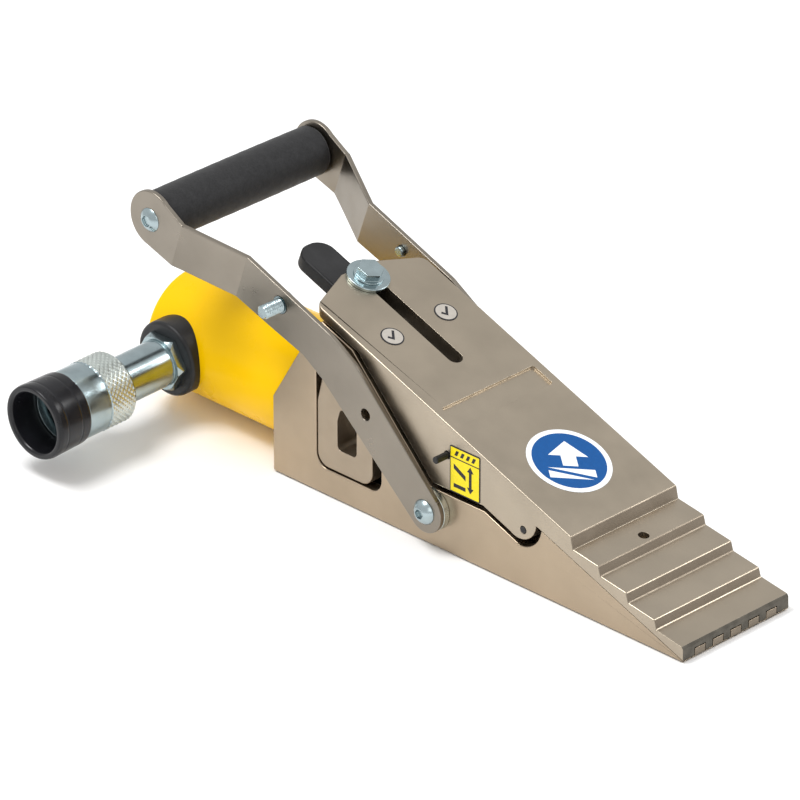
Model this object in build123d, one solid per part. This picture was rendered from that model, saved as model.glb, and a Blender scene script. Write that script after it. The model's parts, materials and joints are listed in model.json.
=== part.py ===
"""Hydraulic vertical lifting wedge: a ram drives an inner wedge that raises a stepped jaw.

Frame in millimetres: origin at the centre of the lower frame's underside, +X towards the
lifting tip, +Z up.  Outlines are given as (distance back from the tip, height).
"""
import os
from math import atan, cos, degrees, radians, sqrt

from build123d import *

os.makedirs("parts", exist_ok=True)
ON_BASE = (Align.CENTER, Align.CENTER, Align.MIN)

# ---- driving dimensions -------------------------------------------------------------
STROKE = 54.0                    # ram and wedge travel
LIFT = 20.0                      # jaw travel
RAMP = degrees(atan(LIFT / STROKE))
SLOPE = LIFT / STROKE
COS_RAMP = cos(radians(RAMP))

FRAME_LENGTH = 298.0
WIDTH = 80.0
HALF = WIDTH / 2
TIP_X = FRAME_LENGTH / 2

# ---- lower frame ---------------------------------------------------------------------
WALL = 8.5
CAVITY = HALF - WALL             # half width between the side walls
FLOOR = 9.0
NOSE_BACK = 78.0                 # the solid nose ends here, the wedge runs behind it
CROSS_WALL = 27.0                # thickness of the rear wall that holds the ram collar
REAR_EDGE = 45.0                 # height of the upright rear edge
RIB_TOP = 5.0
RIB_WIDTH = 7.5
RIB_PITCH = 13.5
RIB_LENGTH = (RIB_TOP - 1.1) / SLOPE
LOBE_U, LOBE_Z = 116.5, 39.8     # centre of the jaw lobe and of the notch around it
LOBE_R = 12.0
NOTCH_R = 15.8
WINDOW_FRONT, WINDOW_REAR = 217.0, 265.4
WINDOW_SILL = 15.6

# ---- upper jaw -----------------------------------------------------------------------
TOP_Z = 13.2                     # height of the top plane where it passes over the tip
SPLIT_Z = 1.2                    # height of the ramp plane at the tip
SPLIT_GAP = 0.3                  # between the ramp plane and the frame's side walls and nose
PLATE_T = (TOP_Z - SPLIT_Z) * COS_RAMP
FLANGE = 9.0
CHEEK = HALF - FLANGE            # half width inside the jaw flanges
PLATE_REAR = 274.6
PLATE_CORNER = 264.2             # the rear corners are cut back to here
EDGE_DROP = 6.4                  # depth of the thin rear side edges
STEP_PITCH = 19.6
STEP_DROP = 8.0
NOSE_U, NOSE_Z = 1.1, 9.0        # first step nose
RISER_LEAN, RISER = 1.6, 5.2
SLOT_WIDTH = 9.0
SLOT_FRONT, SLOT_REAR = 198.0, 271.2
RECESS = (163.7, 178.0, 34.5, 1.5)   # from, to, half width, depth

# ---- drive wedge and ram -------------------------------------------------------------
WEDGE_FRONT, WEDGE_REAR = 135.0, 255.0
WEDGE_HALF = 25.0
TAIL_WIDTH, TAIL_T, TAIL_END = 21.6, 8.0, 307.0
BOLT_U = 266.4
RAM_Z = 36.7
RAM_R = 33.5
RAM_REAR = 403.5
COLLAR_R = 28.5
BORE_R = 21.45
BORE_END = 389.5
PLUNGER_R = 19.0
PISTON = (366.0, 378.0)
PORT_U = 382.0
PORT_DROOP = 1.6                 # the ram is screwed in with its port just below level

# ---- handle --------------------------------------------------------------------------
PIVOT = (178.3, 22.7)
GRIP = (367.0, 132.8)
STUD = (285.0, 105.8)
HANDLE_T = 3.0
HANDLE_IN = 44.0                 # inner face beside the frame
GRIP_IN = 59.6                   # inner face at the grip
JOGGLE = (313.9, 112.8, 35.3)    # where the outward bend starts, and its length
ARM_TILT = 19.0


def from_tip(u):
    return TIP_X - u


def split(u):
    """Height of the ramp plane."""
    return SPLIT_Z + u * SLOPE


def top(u):
    """Height of the jaw's top plane."""
    return TOP_Z + u * SLOPE


def slanted(u, drop=0.0):
    """The steep rear edge of the flange, or a line a little below it."""
    return 37.0 + 1.028 * (u - 179.2) - drop


def side_sketch(points, corner=0.0):
    sketch = make_face(Polyline(*[(from_tip(u), z) for u, z in points], close=True))
    return fillet(sketch.vertices(), corner) if corner else sketch


def side_prism(sketch, y_from, y_to):
    """A side-view sketch carried across the width."""
    return Pos(0, y_to, 0) * Rot(90, 0, 0) * extrude(sketch, y_to - y_from, dir=(0, 0, 1))


def both_sides(solid):
    return solid + mirror(solid, about=Plane.XZ)


def pair(solid):
    """The same separate piece on each side."""
    return Compound(children=[solid, mirror(solid, about=Plane.XZ)])


def rod(radius, start, end):
    """A round bar standing on local Z."""
    return Pos(0, 0, start) * Cylinder(radius, end - start, align=ON_BASE)


def taper(radius, end_radius, start, end):
    """A round bar on local Z that changes radius along its length."""
    return Pos(0, 0, start) * Cone(radius, end_radius, end - start, align=ON_BASE)


def tube(outer, inner, start, end):
    return rod(outer, start, end) - rod(inner, start - 1, end + 1)


def along_x(u, y=0.0, z=RAM_Z):
    """Local Z runs rearwards from the tip distance given."""
    return Pos(from_tip(u), y, z) * Rot(0, -90, 0)


def facing(u, z, y, side):
    """Local Z points outwards on the side given, from a plane at that half width."""
    return Pos(from_tip(u), side * y, z) * Rot(-90 * side, 0, 0)


def on_slope(u, y=0.0, depth=0.0):
    """Local Z stands on the jaw's top plane, local X runs down towards the tip."""
    return Pos(from_tip(u), y, top(u)) * Rot(0, RAMP, 0) * Pos(0, 0, -depth)


def button_screw(shank, length, head, height, socket):
    """Domed head above local zero, shank below it, hexagon socket in the top."""
    dome_r = (head ** 2 + height ** 2) / (2 * height)
    dome = rod(head, 0, height) & (Pos(0, 0, height - dome_r) * Sphere(dome_r))
    screw = dome + rod(shank, -length, 0)
    recess = extrude(RegularPolygon(socket, 6), height * 0.6)
    return screw - Pos(0, 0, height * 0.45) * recess


def flush_screw(shank, length, head):
    """Countersunk screw with its flat head at local zero."""
    cone = Pos(0, 0, -(head - shank) / 2) * Cone(shank, head, head - shank)
    screw = cone + rod(shank, -length, -(head - shank))
    return screw - Pos(0, 0, -1.6) * extrude(RegularPolygon(shank * 0.6, 6), 3)


def spring(radius, wire, length, turns):
    path = Helix(pitch=length / turns, height=length, radius=radius)
    section = Plane(path @ 0, z_dir=path % 0) * Circle(wire)
    return sweep(section, path=path)


# ---- lower frame ---------------------------------------------------------------------
WALL_GAP = 1.6                   # between the wall tops and the plate edges
wall_top = TOP_Z - EDGE_DROP - WALL_GAP
shoulder_u = (wall_top - slanted(0, 4.3)) / (1.028 - SLOPE)
wall_points = [
    (0, 0), (FRAME_LENGTH, 0), (FRAME_LENGTH, REAR_EDGE), (266, 98),
    (261, wall_top + 261 * SLOPE), (shoulder_u, slanted(shoulder_u, 4.3)), (180.4, 34),
    (141.6, 34), (117, 24.6), (117, split(117) - SPLIT_GAP), (0, split(0) - SPLIT_GAP),
]
window_points = [
    (WINDOW_REAR, WINDOW_SILL), (WINDOW_REAR, 95), (245.1, 87.5),
    (WINDOW_FRONT, 58.6), (WINDOW_FRONT, WINDOW_SILL),
]
window = side_sketch(window_points)
window = fillet(window.vertices().sort_by(Axis.Y)[:2], 8.0)
window = fillet(window.vertices().sort_by(Axis.Y)[-3:], 3.0)
wall = side_prism(side_sketch(wall_points), CAVITY, HALF)
notch = Pos(from_tip(LOBE_U), LOBE_Z) * Circle(NOTCH_R)
notch &= Pos(from_tip(117), LOBE_Z) * Rectangle(40, 60, align=(Align.MIN, Align.CENTER))
wall -= side_prism(notch, CAVITY - 1, HALF + 1)
wall -= side_prism(window, CAVITY - 1, HALF + 1)
wall -= facing(*PIVOT, CAVITY, 1) * rod(4.02, -1, WALL + 1)

nose_points = [(0, 0), (NOSE_BACK, 0), (NOSE_BACK, split(NOSE_BACK) - SPLIT_GAP), (0, split(0) - SPLIT_GAP)]
floor_points = [(NOSE_BACK, 0), (NOSE_BACK, FLOOR), (FRAME_LENGTH, FLOOR), (FRAME_LENGTH, 0)]
rear_points = [
    (FRAME_LENGTH - CROSS_WALL, 0), (FRAME_LENGTH, 0), (FRAME_LENGTH, REAR_EDGE),
    (279.9, 75), (FRAME_LENGTH - CROSS_WALL, 75),
]
lower_frame = both_sides(wall)
for points in (nose_points, floor_points, rear_points):
    lower_frame += side_prism(side_sketch(points), -CAVITY, CAVITY)
rib_points = [(0, 0.5), (0, RIB_TOP), (RIB_LENGTH, RIB_TOP), (RIB_LENGTH + 3, 0.5)]
for n in range(-2, 3):
    reach = RIB_WIDTH / 2
    lower_frame += side_prism(side_sketch(rib_points), n * RIB_PITCH - reach, n * RIB_PITCH + reach)
lower_frame -= along_x(FRAME_LENGTH) * rod(COLLAR_R + 0.05, -CROSS_WALL - 1, 1)
bottom_edges = lower_frame.faces().sort_by(Axis.Z)[0].outer_wire().edges()
lower_frame = chamfer(bottom_edges, 0.8)

# ---- upper jaw -----------------------------------------------------------------------
step_points = [(0, split(0)), (0.2, NOSE_Z - 1.4), (NOSE_U, NOSE_Z)]
for n in range(1, 5):
    nose_u = NOSE_U + n * STEP_PITCH
    nose_z = NOSE_Z + n * STEP_DROP if n < 4 else top(nose_u)
    step_points += [(nose_u - RISER_LEAN, NOSE_Z + n * STEP_DROP - RISER), (nose_u, nose_z)]
core_points = step_points + [(PLATE_REAR, top(PLATE_REAR)), (PLATE_REAR, split(PLATE_REAR))]
edge_meet = (TOP_Z - EDGE_DROP - slanted(0)) / (1.028 - SLOPE)
flange_points = step_points + [
    (PLATE_REAR, top(PLATE_REAR)), (PLATE_REAR, top(PLATE_REAR) - EDGE_DROP),
    (edge_meet, slanted(edge_meet)), (179.2, 37), (142.3, 37), (119.2, 28.2),
    (LOBE_U, LOBE_Z), (102, split(102)),
]
flange = side_prism(side_sketch(flange_points), CHEEK, HALF)
flange += side_prism(Pos(from_tip(LOBE_U), LOBE_Z) * Circle(LOBE_R), CHEEK, HALF)
upper_jaw = side_prism(side_sketch(core_points), -CHEEK, CHEEK) + both_sides(flange)

# cut-back rear corners
corner_cut = make_face(Polyline(
    (from_tip(PLATE_CORNER), HALF), (from_tip(PLATE_REAR), 12), (from_tip(PLATE_REAR) - 5, 12),
    (from_tip(PLATE_REAR) - 5, HALF + 5), (from_tip(PLATE_CORNER), HALF + 5), close=True))
upper_jaw -= both_sides(extrude(corner_cut, 200, dir=(0, 0, 1)))
upright = upper_jaw.edges().filter_by(Axis.Z).filter_by_position(Axis.X, -200, from_tip(260))
upper_jaw = fillet([e for e in upright if abs(e.center().Y) > HALF - 0.1], 6)

# long slot, shallow cross recess, locating hole in the last tread
slot_mid = (SLOT_FRONT + SLOT_REAR) / 2
slot_length = (SLOT_REAR - SLOT_FRONT) / COS_RAMP
slot = extrude(SlotOverall(slot_length, SLOT_WIDTH), 40, both=True)
upper_jaw -= on_slope(slot_mid) * slot
recess_from, recess_to, recess_half, recess_depth = RECESS
recess_size = (recess_to - recess_from) / COS_RAMP
recess = extrude(RectangleRounded(recess_size, 2 * recess_half, 1.5), 10, dir=(0, 0, 1))
upper_jaw -= on_slope((recess_from + recess_to) / 2, depth=recess_depth) * recess
upper_jaw -= Pos(from_tip(65.5), 0, 27.5) * rod(3.0, 0, 20)

# grooves over the frame's tip ribs
groove_end, groove_top = RIB_LENGTH + 1.2, RIB_TOP + 0.5
groove_points = [(-1, 0), (-1, groove_top), (groove_end, groove_top), (groove_end, 0)]
for n in range(-2, 3):
    reach = RIB_WIDTH / 2 + 0.5
    upper_jaw -= side_prism(side_sketch(groove_points), n * RIB_PITCH - reach, n * RIB_PITCH + reach)
STOP_PIN = (168.5, 57.3)
LOBE_PIN = (113.5, 33.9)
GUIDE_SCREWS = ((195.0, 64.0), (209.0, 72.0))
for u, z in (STOP_PIN, LOBE_PIN):
    for side in (1, -1):
        upper_jaw -= facing(u, z, CHEEK, side) * rod(2.0, 0.5, FLANGE + 1)
for u, z in GUIDE_SCREWS:
    for side in (1, -1):
        upper_jaw -= facing(u, z, CHEEK, side) * rod(3.0, -1, 7)

# ---- side guides: an inner plate screwed to each flange, with a boss that rides in the window
GUIDE_IN = 25.5
BOSS_OUT = 39.5
guide_points = [
    (265, 16.5), (265, 54.6), (258, 83.5), (254.8, split(254.8) - 0.05), (188, split(188) - 0.05),
    (188, 56), (200, 52), (224.2, 52), (224.2, 16.5),
]
boss_points = [(265, 16.5), (265, 54.6), (260.3, 73), (245.1, 67.1), (224.2, 45.6), (224.2, 16.5)]
eye_points = [(250, 30), (250, 47), (247, 57), (235.7, 46.8), (235.7, 30)]


def rounded_foot(points, radius):
    """Side sketch whose two lower corners are rounded."""
    sketch = side_sketch(points)
    return fillet(sketch.vertices().sort_by(Axis.Y)[:2], radius)


guide = side_prism(rounded_foot(guide_points, 8), GUIDE_IN, CHEEK)
boss = side_prism(rounded_foot(boss_points, 8), CHEEK, BOSS_OUT)
boss = chamfer(boss.faces().sort_by(Axis.Y)[-1].edges(), 0.6)
guide = guide + boss - side_prism(side_sketch(eye_points, 3), GUIDE_IN - 1, HALF)
guide_screw = flush_screw(2.95, 12.0, 5.6)
for u, z in GUIDE_SCREWS:
    guide -= facing(u, z, GUIDE_IN, 1) * Rot(180, 0, 0) * (
        rod(3.0, -13, 1) + Pos(0, 0, -1.325) * Cone(3.0, 5.65, 2.65))
guide_left = guide
guide_right = mirror(guide, about=Plane.XZ)
guide_screws = [facing(u, z, GUIDE_IN, side) * Rot(180, 0, 0) * guide_screw
                for u, z in GUIDE_SCREWS for side in (1, -1)]

pin = rod(1.98, 0.6, FLANGE + 9)
stop_pin = facing(*STOP_PIN, CHEEK, 1) * chamfer(pin.edges().group_by(Axis.Z)[-1], 0.4)
lobe_pin = facing(*LOBE_PIN, CHEEK, 1) * rod(1.98, 0.6, FLANGE)

# ---- drive wedge, its tail bar and the slot bolt
wedge_points = [
    (WEDGE_REAR, FLOOR + 0.05), (WEDGE_REAR, split(WEDGE_REAR) - 0.05),
    (WEDGE_FRONT, split(WEDGE_FRONT) - 0.05), (WEDGE_FRONT, FLOOR + 0.05),
]
pocket_points = [(235, 0), (235, split(235) - 18), (162, split(162) - 15), (162, 0)]
drive_wedge = side_prism(side_sketch(wedge_points), -WEDGE_HALF, WEDGE_HALF)
drive_wedge -= side_prism(side_sketch(pocket_points, 4), -14, 14)
drive_wedge -= along_x(WEDGE_REAR) * rod(6.1, -30, 1)
TAIL_FRONT = 200.0
tail_length = (TAIL_END - TAIL_FRONT) / COS_RAMP
tail_seat = Box(tail_length + 0.4, TAIL_WIDTH + 0.4, 30, align=(Align.MAX, Align.CENTER, Align.MIN))
tail_top = PLATE_T + 0.1
drive_wedge -= on_slope(TAIL_FRONT, depth=tail_top + TAIL_T + 0.05) * Pos(0.2, 0, 0) * tail_seat
tail = Box(tail_length, TAIL_WIDTH, TAIL_T, align=(Align.MAX, Align.CENTER, Align.MAX))
tail = fillet(tail.edges().filter_by(Axis.Z).group_by(Axis.X)[0], 9.6)
tail = chamfer(tail.faces().sort_by(Axis.Z)[-1].edges(), 0.5)
wedge_tail = on_slope(TAIL_FRONT, depth=tail_top) * tail
bolt_seat = on_slope(BOLT_U)
wedge_tail -= bolt_seat * rod(4.02, -40, 1)
TAIL_SCREWS = ((207.0, 6.0), (207.0, -6.0), (241.0, 6.0), (241.0, -6.0))
tail_screw = flush_screw(1.95, 16.0, 3.8)
tail_screws = []
for u, y in TAIL_SCREWS:
    seat = on_slope(u, y, tail_top)
    clearance = rod(2.0, -16.2, 1) + Pos(0, 0, -0.925) * Cone(2.0, 3.85, 1.85)
    wedge_tail -= seat * clearance
    drive_wedge -= seat * rod(2.0, -16.2, 1)
    tail_screws.append(seat * tail_screw)
WASHER_T = 2.0
washer = tube(12.0, 4.2, 0, WASHER_T)
slot_washer = bolt_seat * Pos(0, 0, 0.05) * fillet(washer.edges().group_by(Axis.Z)[-1], 0.5)
bolt = extrude(RegularPolygon(7.4, 6), 5.2) & taper(11.0, 4.4, -2.0, 13.0)
bolt += rod(3.98, -WASHER_T - 17.5, 0) + rod(8.4, 0, 1.0)
slot_bolt = bolt_seat * Pos(0, 0, 0.05 + WASHER_T) * bolt

# ---- ram
PLUNGER_FRONT = 259.0
cylinder = rod(RAM_R, FRAME_LENGTH, RAM_REAR) + rod(COLLAR_R, FRAME_LENGTH - CROSS_WALL, FRAME_LENGTH)
cylinder = fillet(cylinder.edges().group_by(Axis.Z)[-1], 3.0)
cylinder -= rod(BORE_R, FRAME_LENGTH - CROSS_WALL - 1, BORE_END)
for angle in (45, 225):
    cylinder -= Rot(0, 0, angle) * Pos(18, 0, 0) * rod(4.0, RAM_REAR - 12, RAM_REAR + 1)
ram = along_x(0)
cylinder_body = ram * cylinder
port = Pos(from_tip(PORT_U), 0, RAM_Z) * Rot(90 + PORT_DROOP, 0, 0)
cylinder_body -= port * (rod(8.5, 22.5, 60) + rod(3.5, 15, 60))
gland_bearing = ram * tube(BORE_R - 0.03, PLUNGER_R + 0.05, 274, 290)
wiper = tube(BORE_R - 0.05, PLUNGER_R + 0.04, 271.3, 273.9)
rod_wiper = ram * (wiper & taper(20.6, 23.2, 271.3, 273.9))
stop_ring = ram * tube(BORE_R - 0.05, PLUNGER_R + 0.4, 290.1, PISTON[0] - STROKE - 0.1)
plunger = rod(PLUNGER_R, PLUNGER_FRONT, PISTON[1]) + rod(BORE_R - 0.06, *PISTON)
plunger -= rod(12.5, 276, PISTON[1] + 1) + rod(6.05, PLUNGER_FRONT - 1, PLUNGER_FRONT + 14)
plunger -= tube(30, BORE_R - 1.8, PISTON[0] + 4, PISTON[1] - 3)
plunger = ram * plunger
piston_seal = ram * tube(BORE_R - 0.04, BORE_R - 1.75, PISTON[0] + 4.1, PISTON[1] - 3.1)
plunger_saddle = ram * tube(17.0, 6.2, WEDGE_REAR + 0.05, PLUNGER_FRONT - 0.05)
cap_screw = rod(9.0, -10, 0) - Pos(0, 0, -10.1) * extrude(RegularPolygon(5.0, 6), 6)
plunger_screw = along_x(234.9) * (cap_screw + rod(6.0, 0, PLUNGER_FRONT + 12 - 234.9))
return_spring = ram * Pos(0, 0, 278) * spring(8.5, 1.4, BORE_END - 279.8, 18)

# ---- coupler half on the ram port
RING_FRONT = 38.5
port_seal_ring = fillet(rod(21.5, 20, RING_FRONT).edges().group_by(Axis.Z)[-1], 2.0) - rod(8.7, 19, 40)
port_seal_ring = port * port_seal_ring - ram * rod(RAM_R + 0.05, 330, 430)
HEX_END = 44.2
hexagon = extrude(RegularPolygon(17.0, 6), HEX_END - RING_FRONT - 0.05)
hexagon &= taper(20.0, 15.0, -3.0, 6.4)
SHELL = (78.2, 96.7, 112.0, 118.0)   # knurl from, knurl to, guard ring seat from, to
MOUTH = 135.8
NOSE = 112.0
coupler = Pos(0, 0, RING_FRONT + 0.05) * hexagon + rod(8.45, 23, RING_FRONT + 0.2)
coupler += rod(13.0, HEX_END - 0.1, HEX_END + 1.0) + rod(13.4, HEX_END + 1.0, 79) + rod(12.0, 79, NOSE)
coupler -= rod(3.5, 20, 88) + rod(8.0, 86, NOSE - 3) + rod(5.2, NOSE - 4, NOSE + 1)
coupler_body = port * chamfer(coupler.edges().group_by(Axis.Z)[-1], 0.7)
knurl_from, knurl_to, seat_from, seat_to = SHELL
collar = rod(20.2, knurl_from, knurl_to) + rod(19.8, knurl_to, seat_from) + rod(17.4, seat_from, seat_to)
collar = chamfer(collar.edges().group_by(Axis.Z)[0], 1.2)
collar -= rod(13.5, 70, 84) + rod(12.1, 80, 94) + rod(15.6, 93, 120)
coupler_collar = port * collar
guard = taper(20.6, 21.2, seat_from + 0.1, MOUTH)
guard = fillet(guard.edges().group_by(Axis.Z)[-1], 1.8)
guard = fillet(guard.edges().group_by(Axis.Z)[0], 0.8)
coupler_guard_ring = port * (guard - rod(17.45, 100, seat_to + 0.2) - rod(17.2, seat_to, 140))
POPPET_Z = NOSE - 8.0
poppet = Pos(0, 0, POPPET_Z) * Sphere(7.0) & rod(7.9, 90, NOSE - 4.1)
poppet += rod(4.9, POPPET_Z, NOSE - 1) + rod(4.0, POPPET_Z - 11, POPPET_Z)
coupler_poppet = port * poppet
poppet_spring = port * Pos(0, 0, 87.0) * spring(6.0, 0.7, 11.0, 5)

# ---- handle
END_R = 16.2
PIVOT_R = 12.0
arm_end = (GRIP[0] - 1.0, GRIP[1] + 0.5)
arm_points = [
    (PIVOT[0] - 8.6, PIVOT[1] + 8.4), (229.0, 90.0), (248.0, 101.5), (308.0, 124.6), (343.0, 137.8),
    (arm_end[0] - 5.5, arm_end[1] + 15.2), (arm_end[0] + 5.5, arm_end[1] - 15.2), (345.0, 109.2),
    (317.0, 98.8), (292.0, 90.2), (268.0, 82.5), (253.0, 72.8), (PIVOT[0] + 7.9, PIVOT[1] - 9.0),
]
outline = side_sketch(arm_points)
outline = fillet(outline.vertices().filter_by_position(Axis.X, from_tip(350), from_tip(215)), 20.0)
outline += Pos(from_tip(PIVOT[0]), PIVOT[1]) * Circle(PIVOT_R)
outline += Pos(from_tip(arm_end[0]), arm_end[1]) * Circle(END_R)
joggle_u, joggle_z, joggle_length = JOGGLE
joggle_out = GRIP_IN - HANDLE_IN
shift = HANDLE_T * (sqrt(joggle_length ** 2 + joggle_out ** 2) - joggle_length) / joggle_out
bent = make_face(Polyline(
    (250, HANDLE_IN), (0, HANDLE_IN), (-joggle_length, GRIP_IN), (-120, GRIP_IN),
    (-120, GRIP_IN + HANDLE_T), (shift - joggle_length, GRIP_IN + HANDLE_T),
    (shift, HANDLE_IN + HANDLE_T), (250, HANDLE_IN + HANDLE_T), close=True))
bent = Pos(from_tip(joggle_u), 0, joggle_z) * Rot(0, ARM_TILT, 0) * extrude(bent, 200, both=True)
handle_plate = bent & side_prism(outline, HANDLE_IN - 2, GRIP_IN + HANDLE_T + 2)
for (u, z), radius in ((PIVOT, 4.07), ((221.7, 63.9), 3.3), (GRIP, 4.1)):
    handle_plate -= facing(u, z, HANDLE_IN, 1) * rod(radius, -5, 25)
handle_left = handle_plate - facing(*STUD, HANDLE_IN, 1) * rod(3.0, -5, 25)
handle_right = mirror(handle_plate, about=Plane.XZ) - facing(*STUD, HANDLE_IN, -1) * rod(4.95, -5, 25)
grip_axis = facing(*GRIP, 0, 1)
grip_rod = grip_axis * (tube(8.0, 4.0, -GRIP_IN + 0.05, GRIP_IN - 0.05))
grip_sleeve = tube(14.3, 8.05, -GRIP_IN + 0.4, GRIP_IN - 0.4)
rims = grip_sleeve.edges().filter_by(GeomType.CIRCLE).sort_by(lambda e: -e.radius)[0:2]
grip_sleeve = grip_axis * fillet(rims, 1.5)
grip_screw = facing(*GRIP, GRIP_IN + HANDLE_T + 0.03, 1) * button_screw(3.95, 24, 6.9, 3.4, 3.3)
pivot_bolt = facing(*PIVOT, HANDLE_IN + HANDLE_T + 0.05, 1) * button_screw(4.0, 15.4, 7.2, 4.4, 2.9)
pivot_spacer = facing(*PIVOT, HALF, 1) * tube(PIVOT_R, 4.05, 0.04, HANDLE_IN - HALF - 0.05)
stud = chamfer(rod(3.97, HANDLE_T + 0.2, HANDLE_T + 13).edges().group_by(Axis.Z)[-1], 0.8)
stud += rod(4.9, -1, HANDLE_T) + rod(3.3, -1, HANDLE_T + 1)
stud += fillet(rod(6.5, -3.4, -0.03).edges().group_by(Axis.Z)[0], 1.2)
strap_stud = facing(*STUD, HANDLE_IN, -1) * stud
screw_tip = fillet(rod(2.95, -HANDLE_T - 2.6, 0).edges().group_by(Axis.Z)[0], 1.0)
strap_screw = screw_tip + button_screw(2.95, 2, 5.6, 3.0, 2.0)
strap_screw = facing(*STUD, HANDLE_IN + HANDLE_T + 0.03, 1) * strap_screw

# ---- labels
LABEL_T = 0.25
info_label = on_slope(118.9) * rod(23.3, 0.02, LABEL_T)
check_stickers = [on_slope(228.3, y) * rod(6.5, 0.02, LABEL_T) for y in (20.0, -20.0)]
label_points = [(144.3, 37.6), (144.3, 64.5), (166.2, 64.5), (166.2, 37.6)]
side_label = side_prism(side_sketch(label_points, 1.0), -HALF - LABEL_T, -HALF - 0.02)

nodes = {
    "lower_frame": lower_frame,
    "cylinder_body": cylinder_body,
    "gland_bearing": gland_bearing,
    "rod_wiper": rod_wiper,
    "stop_ring": stop_ring,
    "return_spring": return_spring,
    "port_seal_ring": port_seal_ring,
    "coupler_body": coupler_body,
    "coupler_collar": coupler_collar,
    "coupler_guard_ring": coupler_guard_ring,
    "coupler_poppet": coupler_poppet,
    "poppet_spring": poppet_spring,
    "upper_jaw": upper_jaw,
    "jaw_guide_left": guide_left,
    "jaw_guide_right": guide_right,
    "guide_screws": Compound(children=guide_screws),
    "stop_pins": pair(stop_pin),
    "lobe_pins": pair(lobe_pin),
    "info_label": info_label,
    "side_label": side_label,
    "check_stickers": Compound(children=check_stickers),
    "drive_wedge": drive_wedge,
    "wedge_tail": wedge_tail,
    "tail_screws": Compound(children=tail_screws),
    "slot_bolt": slot_bolt,
    "slot_washer": slot_washer,
    "plunger": plunger,
    "piston_seal": piston_seal,
    "plunger_saddle": plunger_saddle,
    "plunger_screw": plunger_screw,
    "handle_plate_left": handle_left,
    "handle_plate_right": handle_right,
    "grip_rod": grip_rod,
    "grip_sleeve": grip_sleeve,
    "grip_screws": pair(grip_screw),
    "strap_stud": strap_stud,
    "strap_screw": strap_screw,
    "pivot_bolts": pair(pivot_bolt),
    "pivot_spacers": pair(pivot_spacer),
}
for name, shape in nodes.items():
    export_step(shape, f"parts/{name}.step")
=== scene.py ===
"""Looks for the hydraulic lifting wedge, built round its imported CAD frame.

The frame is in metres: +X to the lifting tip, +Z up.  Small sizes below are in millimetres
and are turned into metres by MM.
"""
import json
import math

import bmesh
import bpy
from mathutils import Matrix, Vector


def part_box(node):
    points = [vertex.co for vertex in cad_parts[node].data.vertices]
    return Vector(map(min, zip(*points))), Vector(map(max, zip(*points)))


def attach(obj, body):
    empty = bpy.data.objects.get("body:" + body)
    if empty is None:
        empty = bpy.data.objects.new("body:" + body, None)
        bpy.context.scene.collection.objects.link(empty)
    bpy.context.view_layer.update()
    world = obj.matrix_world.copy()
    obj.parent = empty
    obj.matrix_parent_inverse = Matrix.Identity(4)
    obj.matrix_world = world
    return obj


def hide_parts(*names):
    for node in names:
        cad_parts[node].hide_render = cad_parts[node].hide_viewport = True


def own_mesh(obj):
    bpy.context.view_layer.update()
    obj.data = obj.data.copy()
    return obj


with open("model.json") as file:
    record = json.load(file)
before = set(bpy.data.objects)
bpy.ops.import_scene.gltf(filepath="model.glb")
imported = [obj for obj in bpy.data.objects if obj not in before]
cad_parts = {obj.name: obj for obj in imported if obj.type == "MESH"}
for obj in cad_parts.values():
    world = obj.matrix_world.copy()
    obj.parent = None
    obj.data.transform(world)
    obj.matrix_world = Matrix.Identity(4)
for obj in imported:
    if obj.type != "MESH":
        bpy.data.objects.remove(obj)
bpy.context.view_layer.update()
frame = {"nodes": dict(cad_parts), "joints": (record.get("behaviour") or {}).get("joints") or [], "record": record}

MM = 0.001
NODES = frame["nodes"]
JOINTS = {joint["name"]: joint for joint in frame["joints"]}
SLOPE = frame["record"]["behaviour"]["couplings"][0]["ratio"]
RAMP = math.atan(SLOPE)


def placed(origin, axis, across=(1, 0, 0)):
    """Matrix with local Z along axis, local X as near across as it can be."""
    z = Vector(axis).normalized()
    y = z.cross(Vector(across)).normalized()
    return Matrix.Translation(Vector(origin)) @ Matrix((y.cross(z), y, z)).transposed().to_4x4()


def middle(node):
    low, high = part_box(node)
    return (low + high) / 2


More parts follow.
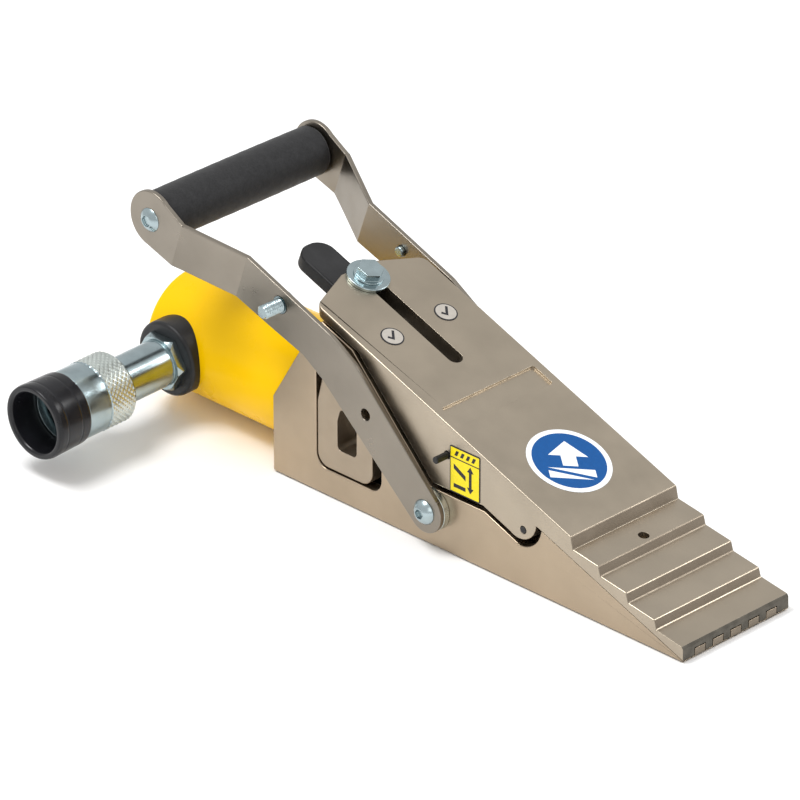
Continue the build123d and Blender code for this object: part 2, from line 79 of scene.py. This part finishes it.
# ---- materials ------------------------------------------------------------------------
class Nodes:
    """Short names for building one material's node tree."""

    def __init__(self, name):
        self.material = bpy.data.materials.new(name)
        self.material.use_nodes = True
        self.tree = self.material.node_tree
        self.shader = self.tree.nodes["Principled BSDF"]
        self.coords = self.add("ShaderNodeTexCoord").outputs["Object"]

    def add(self, kind, **inputs):
        node = self.tree.nodes.new(kind)
        for key, value in inputs.items():
            node.inputs[key.replace("_", " ")].default_value = value
        return node

    def link(self, a, b):
        self.tree.links.new(a, b)

    def put(self, **values):
        for key, value in values.items():
            self.shader.inputs[key.replace("_", " ")].default_value = value

    def stretched(self, scale):
        mapping = self.add("ShaderNodeMapping")
        mapping.inputs["Scale"].default_value = scale
        self.link(self.coords, mapping.inputs["Vector"])
        return mapping.outputs["Vector"]

    def noise(self, scale, detail=3.0, vector=None, roughness=0.5):
        node = self.add("ShaderNodeTexNoise", Scale=scale, Detail=detail, Roughness=roughness)
        self.link(vector or self.coords, node.inputs["Vector"])
        return node.outputs["Fac"]

    def ranged(self, value, low, high, start=0.3, stop=0.7):
        node = self.add("ShaderNodeMapRange")
        for index, number in enumerate((start, stop, low, high), start=1):
            node.inputs[index].default_value = number
        self.link(value, node.inputs[0])
        return node.outputs[0]

    def colours(self, value, dark, light, start=0.3, stop=0.7):
        ramp = self.tree.nodes.new("ShaderNodeValToRGB")
        ramp.color_ramp.elements[0].position = start
        ramp.color_ramp.elements[1].position = stop
        ramp.color_ramp.elements[0].color = (*dark, 1)
        ramp.color_ramp.elements[1].color = (*light, 1)
        self.link(value, ramp.inputs[0])
        return ramp.outputs[0]

    def bump(self, height, distance, strength=1.0, below=None):
        node = self.add("ShaderNodeBump", Strength=strength, Distance=distance)
        self.link(height, node.inputs["Height"])
        if below is not None:
            self.link(below, node.inputs["Normal"])
        return node.outputs["Normal"]


def shade(colour, by):
    return tuple(max(0.0, c * by) for c in colour)


def metal(name, colour, gloss, clouds=0.07, grain=0.00002, cloud_scale=26.0, brushed=None):
    """Plated or machined steel: faint clouds in colour and gloss over a fine grain."""
    n = Nodes(name)
    n.put(Metallic=1.0)
    cloud = n.noise(cloud_scale, 4.0)
    tones = n.colours(cloud, shade(colour, 1 - clouds), shade(colour, 1 + clouds))
    n.link(tones, n.shader.inputs["Base Color"])
    patches = n.noise(cloud_scale * 3.1, 5.0)
    n.link(n.ranged(patches, gloss * 0.85, gloss * 1.2), n.shader.inputs["Roughness"])
    fine = n.noise(1700.0, 2.0)
    normal = n.bump(fine, grain)
    if brushed:
        normal = n.bump(n.noise(120.0, 3.0, n.stretched(brushed)), grain, 0.6, normal)
    n.link(normal, n.shader.inputs["Normal"])
    return n.material


def painted(name, colour, gloss, coat=0.6, peel=0.00002):
    """Thick gloss paint with a little orange peel."""
    n = Nodes(name)
    n.put(Coat_Weight=coat, Coat_Roughness=0.1, Specular_IOR_Level=0.1)
    tones = n.colours(n.noise(14.0), shade(colour, 0.95), shade(colour, 1.03))
    n.link(tones, n.shader.inputs["Base Color"])
    n.link(n.ranged(n.noise(60.0), gloss * 0.8, gloss * 1.25), n.shader.inputs["Roughness"])
    n.link(n.bump(n.noise(320.0, 1.0), peel), n.shader.inputs["Normal"])
    return n.material


def rubbery(name, colour, gloss, pores=0.00003, scale=1400.0):
    """Black rubber or satin black finish with a fine texture."""
    n = Nodes(name)
    n.put(Specular_IOR_Level=0.35)
    tones = n.colours(n.noise(70.0, 5.0), shade(colour, 0.75), shade(colour, 1.3))
    n.link(tones, n.shader.inputs["Base Color"])
    n.link(n.ranged(n.noise(180.0, 4.0), gloss * 0.85, gloss * 1.15), n.shader.inputs["Roughness"])
    n.link(n.bump(n.noise(scale, 3.0), pores), n.shader.inputs["Normal"])
    return n.material


def foam(name, colour):
    """Closed-cell foam: small open pores over a soft unevenness."""
    n = Nodes(name)
    n.put(Sheen_Weight=0.12, Sheen_Roughness=0.5, Specular_IOR_Level=0.3)
    cells = n.add("ShaderNodeTexVoronoi", Scale=1500.0)
    n.link(n.coords, cells.inputs["Vector"])
    pores = n.bump(cells.outputs["Distance"], 0.00006, 0.8)
    n.link(n.bump(n.noise(160.0, 3.0), 0.00008, 0.5, pores), n.shader.inputs["Normal"])
    tones = n.colours(n.noise(900.0, 3.0), shade(colour, 0.7), shade(colour, 1.35))
    n.link(tones, n.shader.inputs["Base Color"])
    n.link(n.ranged(n.noise(240.0), 0.62, 0.8), n.shader.inputs["Roughness"])
    return n.material


def film(name, colour, gloss):
    """Printed label film: even colour with faint speckle and handling marks."""
    n = Nodes(name)
    n.put(Specular_IOR_Level=0.25)
    tones = n.colours(n.noise(400.0, 4.0), shade(colour, 0.94), shade(colour, 1.04))
    n.link(tones, n.shader.inputs["Base Color"])
    n.link(n.ranged(n.noise(55.0), gloss * 0.85, gloss * 1.25), n.shader.inputs["Roughness"])
    n.link(n.bump(n.noise(900.0), 0.000008), n.shader.inputs["Normal"])
    return n.material


NICKEL = metal("nickel", (0.43, 0.37, 0.29), 0.34)
LIP_STEEL = metal("nickel_lip", (0.115, 0.105, 0.088), 0.45, clouds=0.2, cloud_scale=160.0)
FRAME_NICKEL = metal("nickel_frame", (0.43, 0.345, 0.25), 0.34)
# a darker copy of the nickel: painted shade for faces turned toward the tip
PAINTED_SHADE_NICKEL = metal("nickel_painted_shade", (0.24, 0.20, 0.155), 0.42)
HANDLE_NICKEL = metal("nickel_sheet", (0.275, 0.245, 0.205), 0.32, brushed=(6, 6, 1))
GUIDE_NICKEL = metal("nickel_inside", (0.40, 0.33, 0.25), 0.40)
ZINC = metal("zinc", (0.38, 0.46, 0.48), 0.22, clouds=0.12, cloud_scale=90.0, grain=0.00001)
ZINC_DULL = metal("zinc_knurl", (0.60, 0.65, 0.62), 0.30, clouds=0.12, cloud_scale=90.0)
MACHINED = metal("machined_steel", (0.42, 0.42, 0.42), 0.28, brushed=(1, 20, 1))
CHROMED = metal("hard_chrome", (0.72, 0.73, 0.74), 0.10, clouds=0.03, grain=0.000004)
DARK_STEEL = metal("dark_steel", (0.10, 0.10, 0.105), 0.38)
SPRING_STEEL = metal("spring_steel", (0.28, 0.28, 0.30), 0.30)
BRONZE = metal("bearing_bronze", (0.50, 0.33, 0.14), 0.32)
YELLOW = painted("yellow_paint", (0.95, 0.56, 0.0), 0.3, coat=0.12)
BLACK_STEEL = rubbery("black_oxide", (0.016, 0.016, 0.017), 0.55, pores=0.00002, scale=1800.0)
RUBBER = rubbery("black_rubber", (0.012, 0.012, 0.013), 0.42)
GUARD_RUBBER = rubbery("guard_rubber", (0.008, 0.008, 0.010), 0.24, pores=0.000008)
FOAM = foam("black_foam", (0.012, 0.012, 0.013))
WHITE_FILM = film("white_film", (0.84, 0.87, 0.90), 0.35)
BLUE_FILM = film("blue_film", (0.001, 0.075, 0.27), 0.4)
YELLOW_FILM = film("yellow_film", (0.86, 0.70, 0.012), 0.35)
GREY_FILM = film("grey_film", (0.42, 0.39, 0.35), 0.45)
INK = film("ink", (0.022, 0.022, 0.026), 0.4)


# ---- CAD nodes that stay: material and rounded edges ----------------------------------
def dress(node, material, edge):
    """Material for a CAD node, and its sharp edges rounded by edge millimetres."""
    o = NODES[node]
    o.data.materials.clear()
    o.data.materials.append(material)
    if edge:
        add_bevel(o, edge, 35)


def even_normals(o):
    """Large faces stay flat and the roundings beside them take up the turn."""
    o.data.polygons.foreach_set("use_smooth", [True] * len(o.data.polygons))
    even = o.modifiers.new("normals", "WEIGHTED_NORMAL")
    even.weight = 100
    even.keep_sharp = False


def add_bevel(o, edge, angle):
    """Rounds every edge that turns by more than angle degrees."""
    weld = o.modifiers.new("weld", "WELD")
    weld.merge_threshold = 1e-6
    flats = o.modifiers.new("flats", "DECIMATE")
    flats.decimate_type = "DISSOLVE"
    flats.angle_limit = math.radians(0.4)
    rounded = o.modifiers.new("edges", "BEVEL")
    rounded.width = edge * MM
    rounded.segments = 3
    rounded.limit_method = "ANGLE"
    rounded.angle_limit = math.radians(angle)
    rounded.use_clamp_overlap = False
    even_normals(o)


for names, material, edge in (
    (("jaw_guide_left", "jaw_guide_right"), GUIDE_NICKEL, 0.4),
    (("cylinder_body",), YELLOW, 0.0),
    (("gland_bearing",), BRONZE, 0.2),
    (("rod_wiper", "piston_seal", "port_seal_ring"), RUBBER, 0.0),
    (("stop_ring", "drive_wedge", "plunger_saddle", "grip_rod"), MACHINED, 0.3),
    (("return_spring",), SPRING_STEEL, 0.0),
    (("pivot_spacers",), ZINC_DULL, 0.4),
    (("coupler_body",), ZINC, 0.25),
    (("guide_screws", "tail_screws", "plunger_screw"), DARK_STEEL, 0.15),
    (("stop_pins", "lobe_pins"), RUBBER, 0.2),
    (("wedge_tail",), BLACK_STEEL, 0.7),
    (("slot_bolt", "grip_screws", "pivot_bolts", "strap_screw"), ZINC, 0.25),
    (("slot_washer",), ZINC, 0.3),
    (("plunger",), CHROMED, 0.4),
    (("coupler_poppet",), DARK_STEEL, 0.0),
    (("info_label",), WHITE_FILM, 0.05),
    (("side_label",), INK, 0.05),
    (("check_stickers",), INK, 0.05),
):
    for name in names:
        dress(name, material, edge)


# ---- new pieces -----------------------------------------------------------------------
def piece(name, bm, materials, body, replaces=(), sharp=32):
    """A new object from a bmesh, riding on a body and standing for the CAD nodes given."""
    bmesh.ops.recalc_face_normals(bm, faces=bm.faces)
    mesh = bpy.data.meshes.new(name)
    bm.to_mesh(mesh)
    bm.free()
    mesh.polygons.foreach_set("use_smooth", [True] * len(mesh.polygons))
    mesh.set_sharp_from_angle(angle=math.radians(sharp))
    for material in materials:
        mesh.materials.append(material)
    o = bpy.data.objects.new(name, mesh)
    bpy.context.scene.collection.objects.link(o)
    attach(o, body)
    if replaces:
        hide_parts(*replaces)
    return o


def soften(points, radius, steps=4):
    """Rounds each corner of a closed outline."""
    out = []
    for index, corner in enumerate(points):
        before, here = Vector(points[index - 1]), Vector(corner)
        after = Vector(points[(index + 1) % len(points)])
        reach = min(radius, (before - here).length * 0.45, (after - here).length * 0.45)
        start = here + (before - here).normalized() * reach
        end = here + (after - here).normalized() * reach
        for k in range(steps + 1):
            t = k / steps
            out.append(start.lerp(here, t).lerp(here.lerp(end, t), t))
    return out


def turned(outline, placing, segments=96, shape=None, paint=None):
    """A closed (radius, along) outline in millimetres turned round local Z."""
    bm = bmesh.new()
    rings = []
    for k in range(segments):
        angle = math.tau * k / segments
        ring = []
        for row, (radius, along) in enumerate(outline):
            if shape:
                radius = shape(radius, along, k, row)
            spot = Vector((radius * math.cos(angle), radius * math.sin(angle), along)) * MM
            ring.append(bm.verts.new(placing @ spot))
        rings.append(ring)
    for k in range(segments):
        one, two = rings[k], rings[(k + 1) % segments]
        for i in range(len(outline)):
            j = (i + 1) % len(outline)
            face = bm.faces.new((one[i], one[j], two[j], two[i]))
            if paint:
                face.material_index = paint(*outline[i], *outline[j])
    return bm


# coupler: stations are millimetres out from the ram's axis along the port
PORT = placed(JOINTS["collar_spin"]["pos_m"], JOINTS["collar_spin"]["axis"])
KNURL_FROM, KNURL_TO, SEAT, SEAT_END, MOUTH = 78.2, 96.7, 112.0, 118.0, 135.8
KNURL_R, COLLAR_R, LIP_R = 20.2, 19.8, 17.4
KNURL_PITCH, KNURL_COUNT, KNURL_DEPTH, GRID = 1.6, 78, 0.42, 4
KNURL_ROWS = round((KNURL_TO - KNURL_FROM - 2.2) / KNURL_PITCH) * GRID

knurl_rows = [(KNURL_R, KNURL_FROM + 1.6 + KNURL_PITCH * k / GRID) for k in range(KNURL_ROWS + 1)]
band = soften([
    (COLLAR_R - 0.25, KNURL_TO), (COLLAR_R, KNURL_TO + 0.4), (COLLAR_R, SEAT), (LIP_R, SEAT),
    (LIP_R, SEAT_END), (15.6, SEAT_END), (15.6, 94.0), (12.1, 94.0), (12.1, 84.0), (13.6, 84.0),
    (13.6, KNURL_FROM), (KNURL_R - 1.3, KNURL_FROM),
], 0.3)


def groove(phase):
    """Triangle wave from 1 at whole numbers to 0 half way between them."""
    return abs(2 * (phase % 1.0) - 1)


def knurl(radius, along, k, row):
    """Four-sided points left between two crossing families of grooves."""
    if row > KNURL_ROWS:
        return radius
    turn, rise = k / GRID, row / GRID
    cut = max(groove((turn + rise) / 2 + 0.5), groove((turn - rise) / 2 + 0.5))
    return radius - KNURL_DEPTH * cut


def knurl_paint(_, along, __, next_along):
    """The duller second material on the knurl."""
    first, last = sorted((along, next_along))
    return int(first > KNURL_FROM + 1 and last <= KNURL_TO - 0.3)


collar = turned(knurl_rows + band, PORT, KNURL_COUNT * GRID, knurl, knurl_paint)
piece("coupler_collar_turned", collar, [ZINC, ZINC_DULL], "coupler_shell",
      ["coupler_collar"], 24)

guard_outline = soften([
    (17.45, SEAT + 0.2), (20.3, SEAT + 0.2), (20.7, SEAT + 1.2), (20.85, 118.0), (20.65, 118.7),
    (20.9, 119.4), (21.1, 128.5), (20.9, 129.2), (21.2, 129.9), (21.3, 133.2), (20.7, MOUTH),
    (18.2, MOUTH), (17.2, 134.4), (17.2, 118.4), (17.45, 118.2),
], 0.8)
guard = turned(guard_outline, PORT, 120)
piece("coupler_guard_moulded", guard, [GUARD_RUBBER], "coupler_shell",
      ["coupler_guard_ring"])

# grip: foam tube, slightly barrelled, on its axis across the handle
grip_low, grip_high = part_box("grip_sleeve")
grip_r, grip_half = (grip_high.z - grip_low.z) / 2 / MM, grip_high.y / MM
GRIP_AXIS = placed(((grip_low.x + grip_high.x) / 2, 0, (grip_low.z + grip_high.z) / 2), (0, 1, 0))
GRIP_BORE, FOAM_ROWS, BARREL, RIPPLE = 8.1, 28, 0.25, 0.06
across = [2 * k / FOAM_ROWS - 1 for k in range(FOAM_ROWS + 1)]
outer = [(grip_r - BARREL * t ** 2 + RIPPLE * math.sin(k * 2.3), t * (grip_half - 1.8))
         for k, t in enumerate(across)]
ends = [(grip_r - 1.0, grip_half - 0.5), (grip_r - 2.4, grip_half), (GRIP_BORE, grip_half),
        (GRIP_BORE, -grip_half), (grip_r - 2.4, -grip_half), (grip_r - 1.0, -grip_half + 0.5)]
tube = turned(outer + ends, GRIP_AXIS, 96)
grip = piece("grip_foam", tube, [FOAM], "handle", ["grip_sleeve"])

# strap stud: flat head inside the plate, collar through it, relief, then a real thread
stud_low, stud_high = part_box("strap_stud")
stud_seat = ((stud_low.x + stud_high.x) / 2, stud_high.y, (stud_low.z + stud_high.z) / 2)
STUD = placed(stud_seat, (0, -1, 0))
stud_length = (stud_high.y - stud_low.y) / MM
STUD_R, THREAD_PITCH, THREAD_DEPTH, THREAD_TURN, THREAD_ROWS = 3.97, 1.25, 0.62, 24, 72
HEAD_R, HEAD_T = (stud_high.x - stud_low.x) / 2 / MM, 3.35
SHEET_END, THREAD_START = 6.4, 7.0
thread_rows = [(STUD_R, THREAD_START + (stud_length - THREAD_START - 0.8) * k / THREAD_ROWS)
               for k in range(THREAD_ROWS + 1)]
stud_outline = thread_rows + [
    (3.1, stud_length), (0.0, stud_length), (0.0, 0.0), (HEAD_R - 1.2, 0.0), (HEAD_R - 0.3, 0.5),
    (HEAD_R, 1.4), (HEAD_R, HEAD_T), (4.9, HEAD_T), (4.9, SHEET_END), (3.3, SHEET_END + 0.02),
    (3.3, SHEET_END + 0.3),
]


def thread(radius, along, k, row):
    """A single-start groove that winds along the shank."""
    if row > THREAD_ROWS or row == 0:
        return radius
    phase = (along / THREAD_PITCH - k / THREAD_TURN) % 1.0
    return radius - THREAD_DEPTH * abs(2 * phase - 1)


stud = turned(stud_outline, STUD, THREAD_TURN, thread)
piece("strap_stud_threaded", stud, [ZINC], "handle", ["strap_stud"])


# frame and jaw: cut edges rounded, less so among the small ribs at the tip
def clean_copy(node):
    bm = bmesh.new()
    bm.from_mesh(NODES[node].data)
    bmesh.ops.remove_doubles(bm, verts=bm.verts, dist=1e-6)
    bmesh.ops.dissolve_limit(bm, angle_limit=math.radians(0.4), verts=bm.verts, edges=bm.edges)
    bm.normal_update()
    return bm


def on_plate_cut(spot):
    """Whether a vertex belongs to the jaw's long slot or its shallow cross recess."""
    return abs(spot.y) < 5 or (-32 < spot.x < -12 and abs(spot.y) < 36)


def machined(node, body, material, lip, edge, small_edge):
    """Own copy of a machined block; faces turned toward the tip take painted shade, a darker nickel, on the step
    risers, and the lip material at the tip.
    """
    bm = clean_copy(node)
    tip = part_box(node)[1].x - TIP_ZONE * MM
    weights = bm.edges.layers.float.new("bevel_weight_edge")
    for e in bm.edges:
        if len(e.link_faces) == 2 and e.calc_face_angle(0) > math.radians(30):
            at_tip = max(v.co.x for v in e.verts) > tip
            small = at_tip or all(on_plate_cut(v.co / MM) for v in e.verts)
            e[weights] = small_edge / edge if small else 1.0
    # faces turned toward the tip: painted shade on the step risers, the lip material on the forward faces at the
    # tip
    for face in bm.faces:
        if face.normal.x > 0.8:
            x = face.calc_center_median().x
            face.material_index = 2 if x > tip else int(x > STEPS_FROM * MM)
    o = piece(node + "_machined", bm, [material, PAINTED_SHADE_NICKEL, lip], body, [node])
    rounded = o.modifiers.new("edges", "BEVEL")
    rounded.width = edge * MM
    rounded.segments = 3
    rounded.limit_method = "WEIGHT"
    rounded.use_clamp_overlap = False
    even_normals(o)


TIP_ZONE, STEPS_FROM = 14.0, 65.0
# the frame's forward faces at the tip take the same painted shade as its risers
machined("lower_frame", "frame", FRAME_NICKEL, PAINTED_SHADE_NICKEL, 0.8, 0.15)
machined("upper_jaw", "jaw", NICKEL, LIP_STEEL, 0.8, 0.15)


# handle plates: the two sheet bends rolled, the cut edges broken
def bent_plate(node, roll):
    bm = clean_copy(node)
    bends = [e for e in bm.edges
             if len(e.link_faces) == 2 and e.calc_length() > 15 * MM
             and math.radians(12) < e.calc_face_angle(0) < math.radians(40)
             and all(abs(f.normal.y) > 0.7 for f in e.link_faces)]
    bmesh.ops.bevel(bm, geom=bends, offset=roll * MM, segments=8, profile=0.5, affect="EDGES",
                    offset_type="OFFSET", clamp_overlap=True)
    o = piece(node + "_rolled", bm, [HANDLE_NICKEL], "handle", [node])
    add_bevel(o, 0.6, 40)


bent_plate("handle_plate_left", 5.0)
bent_plate("handle_plate_right", 5.0)


# poppet spring: the CAD coils, welded, as a separate piece with a mesh of its own
coils = bmesh.new()
coils.from_mesh(NODES["poppet_spring"].data)
bmesh.ops.remove_doubles(coils, verts=coils.verts, dist=1e-6)
poppet_coils = piece("poppet_spring_coils", coils, [SPRING_STEEL], "frame",
                     ["poppet_spring"])
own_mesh(poppet_coils)


# ---- labels: thin printed layers --------------------------------------------------------
def layer(bm, placing, outline, low, high):
    """A flat shape of (x, y) points in millimetres between two heights on a surface."""
    rings = [[bm.verts.new(placing @ (Vector((x, y, z)) * MM)) for x, y in outline]
             for z in (low, high)]
    bm.faces.new(rings[1])
    bm.faces.new(rings[0][::-1])
    for i in range(len(outline)):
        j = (i + 1) % len(outline)
        bm.faces.new((rings[0][i], rings[0][j], rings[1][j], rings[1][i]))


def disc(radius, count=72):
    turns = [math.tau * k / count for k in range(count)]
    return [(radius * math.cos(a), radius * math.sin(a)) for a in turns]


def turned_about(points, degrees):
    c, s = math.cos(math.radians(degrees)), math.sin(math.radians(degrees))
    return [(x * c - y * s, x * s + y * c) for x, y in points]


SLOPE_UP = (math.sin(RAMP), 0, math.cos(RAMP))
DOWNHILL = (math.cos(RAMP), 0, -math.sin(RAMP))
FILM_T = 0.25                              # the CAD label's own thickness
FIRST_COAT = (FILM_T / 2 - 0.02, FILM_T / 2 + 0.05)
SECOND_COAT = (FILM_T / 2 + 0.03, FILM_T / 2 + 0.09)
round_label = placed(middle("info_label"), SLOPE_UP, DOWNHILL)
field = bmesh.new()
layer(field, round_label, disc(20.4), *FIRST_COAT)
piece("info_label_field", field, [BLUE_FILM], "jaw")
symbol = bmesh.new()
READING_TURN, STICKER_TURN = 57, 90      # turns a symbol's top from across the jaw
for shape in (
    [(-11, 3.5), (0, 14.5), (11, 3.5), (4.2, 3.5), (4.2, -4.0), (-4.2, -4.0), (-4.2, 3.5)],
    [(-13.0, -6.0), (13.0, -11.5), (13.0, -6.0)],
    [(-13.0, -8.2), (-13.0, -13.4), (11.0, -13.4)],
):
    layer(symbol, round_label, turned_about(shape, READING_TURN), *SECOND_COAT)
piece("info_label_symbol", symbol, [WHITE_FILM], "jaw")

side_low, side_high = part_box("side_label")
side_w, side_h = (side_high.x - side_low.x) / 2 / MM, (side_high.z - side_low.z) / 2 / MM
side_seat = ((side_low.x + side_high.x) / 2, side_low.y, (side_low.z + side_high.z) / 2)
side_label = placed(side_seat, (0, -1, 0))
HEADER, FRAME_LINE = side_h - 6.6, 0.7     # height of the header's lower line, line width
yellow = bmesh.new()
inner_w, inner_h = side_w - FRAME_LINE, side_h - FRAME_LINE
for low, high in ((-inner_h, HEADER - FRAME_LINE / 2), (HEADER + FRAME_LINE / 2, inner_h)):
    panel = [(-inner_w, low), (inner_w, low), (inner_w, high), (-inner_w, high)]
    layer(yellow, side_label, panel, -0.02, 0.05)
piece("side_label_field", yellow, [YELLOW_FILM], "jaw")
marks = bmesh.new()
upper_bar = [(-8.0, 3.5), (0.6, -1.2), (0.6, -4.0), (-8.0, 0.6)]
lower_bar = [(-8.0, -8.0), (0.6, -8.0), (0.6, -10.2), (-8.0, -10.2)]
spread_arrow = [(1.6, 2.0), (4.0, 5.4), (6.4, 2.0), (5.0, 2.0), (5.0, -7.0),
                (6.4, -7.0), (4.0, -10.4), (1.6, -7.0), (3.0, -7.0), (3.0, 2.0)]
header_bars = [[(x, HEADER + 1.6), (x + 2.0, HEADER + 1.6), (x + 3.4, HEADER + 4.6),
                (x + 1.4, HEADER + 4.6)] for x in (-7.6, -3.5, 0.6, 4.7)]
for shape in [upper_bar, lower_bar, spread_arrow] + header_bars:
    layer(marks, side_label, shape, 0.03, 0.08)
piece("side_label_marks", marks, [INK], "jaw")

STICKER_R = 6.5
sticker_low, sticker_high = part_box("check_stickers")
stickers, ticks = bmesh.new(), bmesh.new()
for side in (1, -1):
    seat = Vector(((sticker_low.x + sticker_high.x) / 2, side * (sticker_high.y - STICKER_R * MM),
                   (sticker_low.z + sticker_high.z) / 2))
    spot = placed(seat, SLOPE_UP, DOWNHILL)
    layer(stickers, spot, disc(STICKER_R - 0.75), *FIRST_COAT)
    tick = [(-3.4, 0.2), (-2.2, 1.2), (-0.9, -0.6), (2.6, 3.6), (3.7, 2.7), (-0.8, -2.8)]
    layer(ticks, spot, turned_about(tick, STICKER_TURN), *SECOND_COAT)
piece("check_sticker_fields", stickers, [GREY_FILM], "jaw")
piece("check_sticker_ticks", ticks, [INK], "jaw")


# ---- stage ------------------------------------------------------------------------------
def lamp(name, place, aim, size, power, colour=(1, 1, 1)):
    light = bpy.data.lights.new(name, "AREA")
    light.shape = "RECTANGLE"
    light.size, light.size_y = size
    light.energy = power
    light.color = colour
    o = bpy.data.objects.new(name, light)
    bpy.context.scene.collection.objects.link(o)
    o.location = place
    o.rotation_mode = "QUATERNION"
    o.rotation_quaternion = (Vector(aim) - Vector(place)).to_track_quat("-Z", "Y")


floor_mesh = bpy.data.meshes.new("floor")
floor_mesh.from_pydata([(-4, -4, 0), (4, -4, 0), (4, 4, 0), (-4, 4, 0)], [], [(0, 1, 2, 3)])
floor = bpy.data.objects.new("floor", floor_mesh)
floor.location.z = -0.0004
bpy.context.scene.collection.objects.link(floor)
paper = bpy.data.materials.new("pale_floor")
paper.use_nodes = True
paper_shader = paper.node_tree.nodes["Principled BSDF"]
paper_shader.inputs["Base Color"].default_value = (0.96, 0.96, 0.96, 1)
paper_shader.inputs["Roughness"].default_value = 0.9
paper_shader.inputs["Specular IOR Level"].default_value = 0.0
floor_mesh.materials.append(paper)

world = bpy.data.worlds.new("studio")
world.use_nodes = True
bpy.context.scene.world = world
sky = world.node_tree.nodes["Background"]
sky.inputs["Color"].default_value = (1.0, 1.0, 1.0, 1)
sky.inputs["Strength"].default_value = 0.78

CENTRE = (-0.05, 0.0, 0.06)
lamp("key", (-0.45, -0.55, 1.5), CENTRE, (0.7, 0.5), 15)
lamp("side", (1.3, -1.0, 0.9), CENTRE, (0.9, 0.9), 3, (1.0, 0.97, 0.93))
lamp("back", (0.85, 1.2, 1.15), CENTRE, (0.8, 0.6), 9)

bpy.context.scene.view_settings.view_transform = "Standard"

# ---- camera: a long lens seen from the tip's right --------------------------------------
AZIMUTH, ELEVATION, DISTANCE = math.radians(44.75), math.radians(27.39), 4.0334
AIM = Vector((-0.0935, 0.0, 0.0478))
back = Vector((math.sin(AZIMUTH) * math.cos(ELEVATION), -math.cos(AZIMUTH) * math.cos(ELEVATION),
               math.sin(ELEVATION)))
lens = bpy.data.cameras.new("camera")
lens.lens = 342.8
lens.sensor_width = 36.0
camera = bpy.data.objects.new("camera", lens)
camera.location = AIM + back * DISTANCE
camera.rotation_mode = "QUATERNION"
camera.rotation_quaternion = (-back).to_track_quat("-Z", "Y")
bpy.context.scene.collection.objects.link(camera)
bpy.context.scene.camera = camera
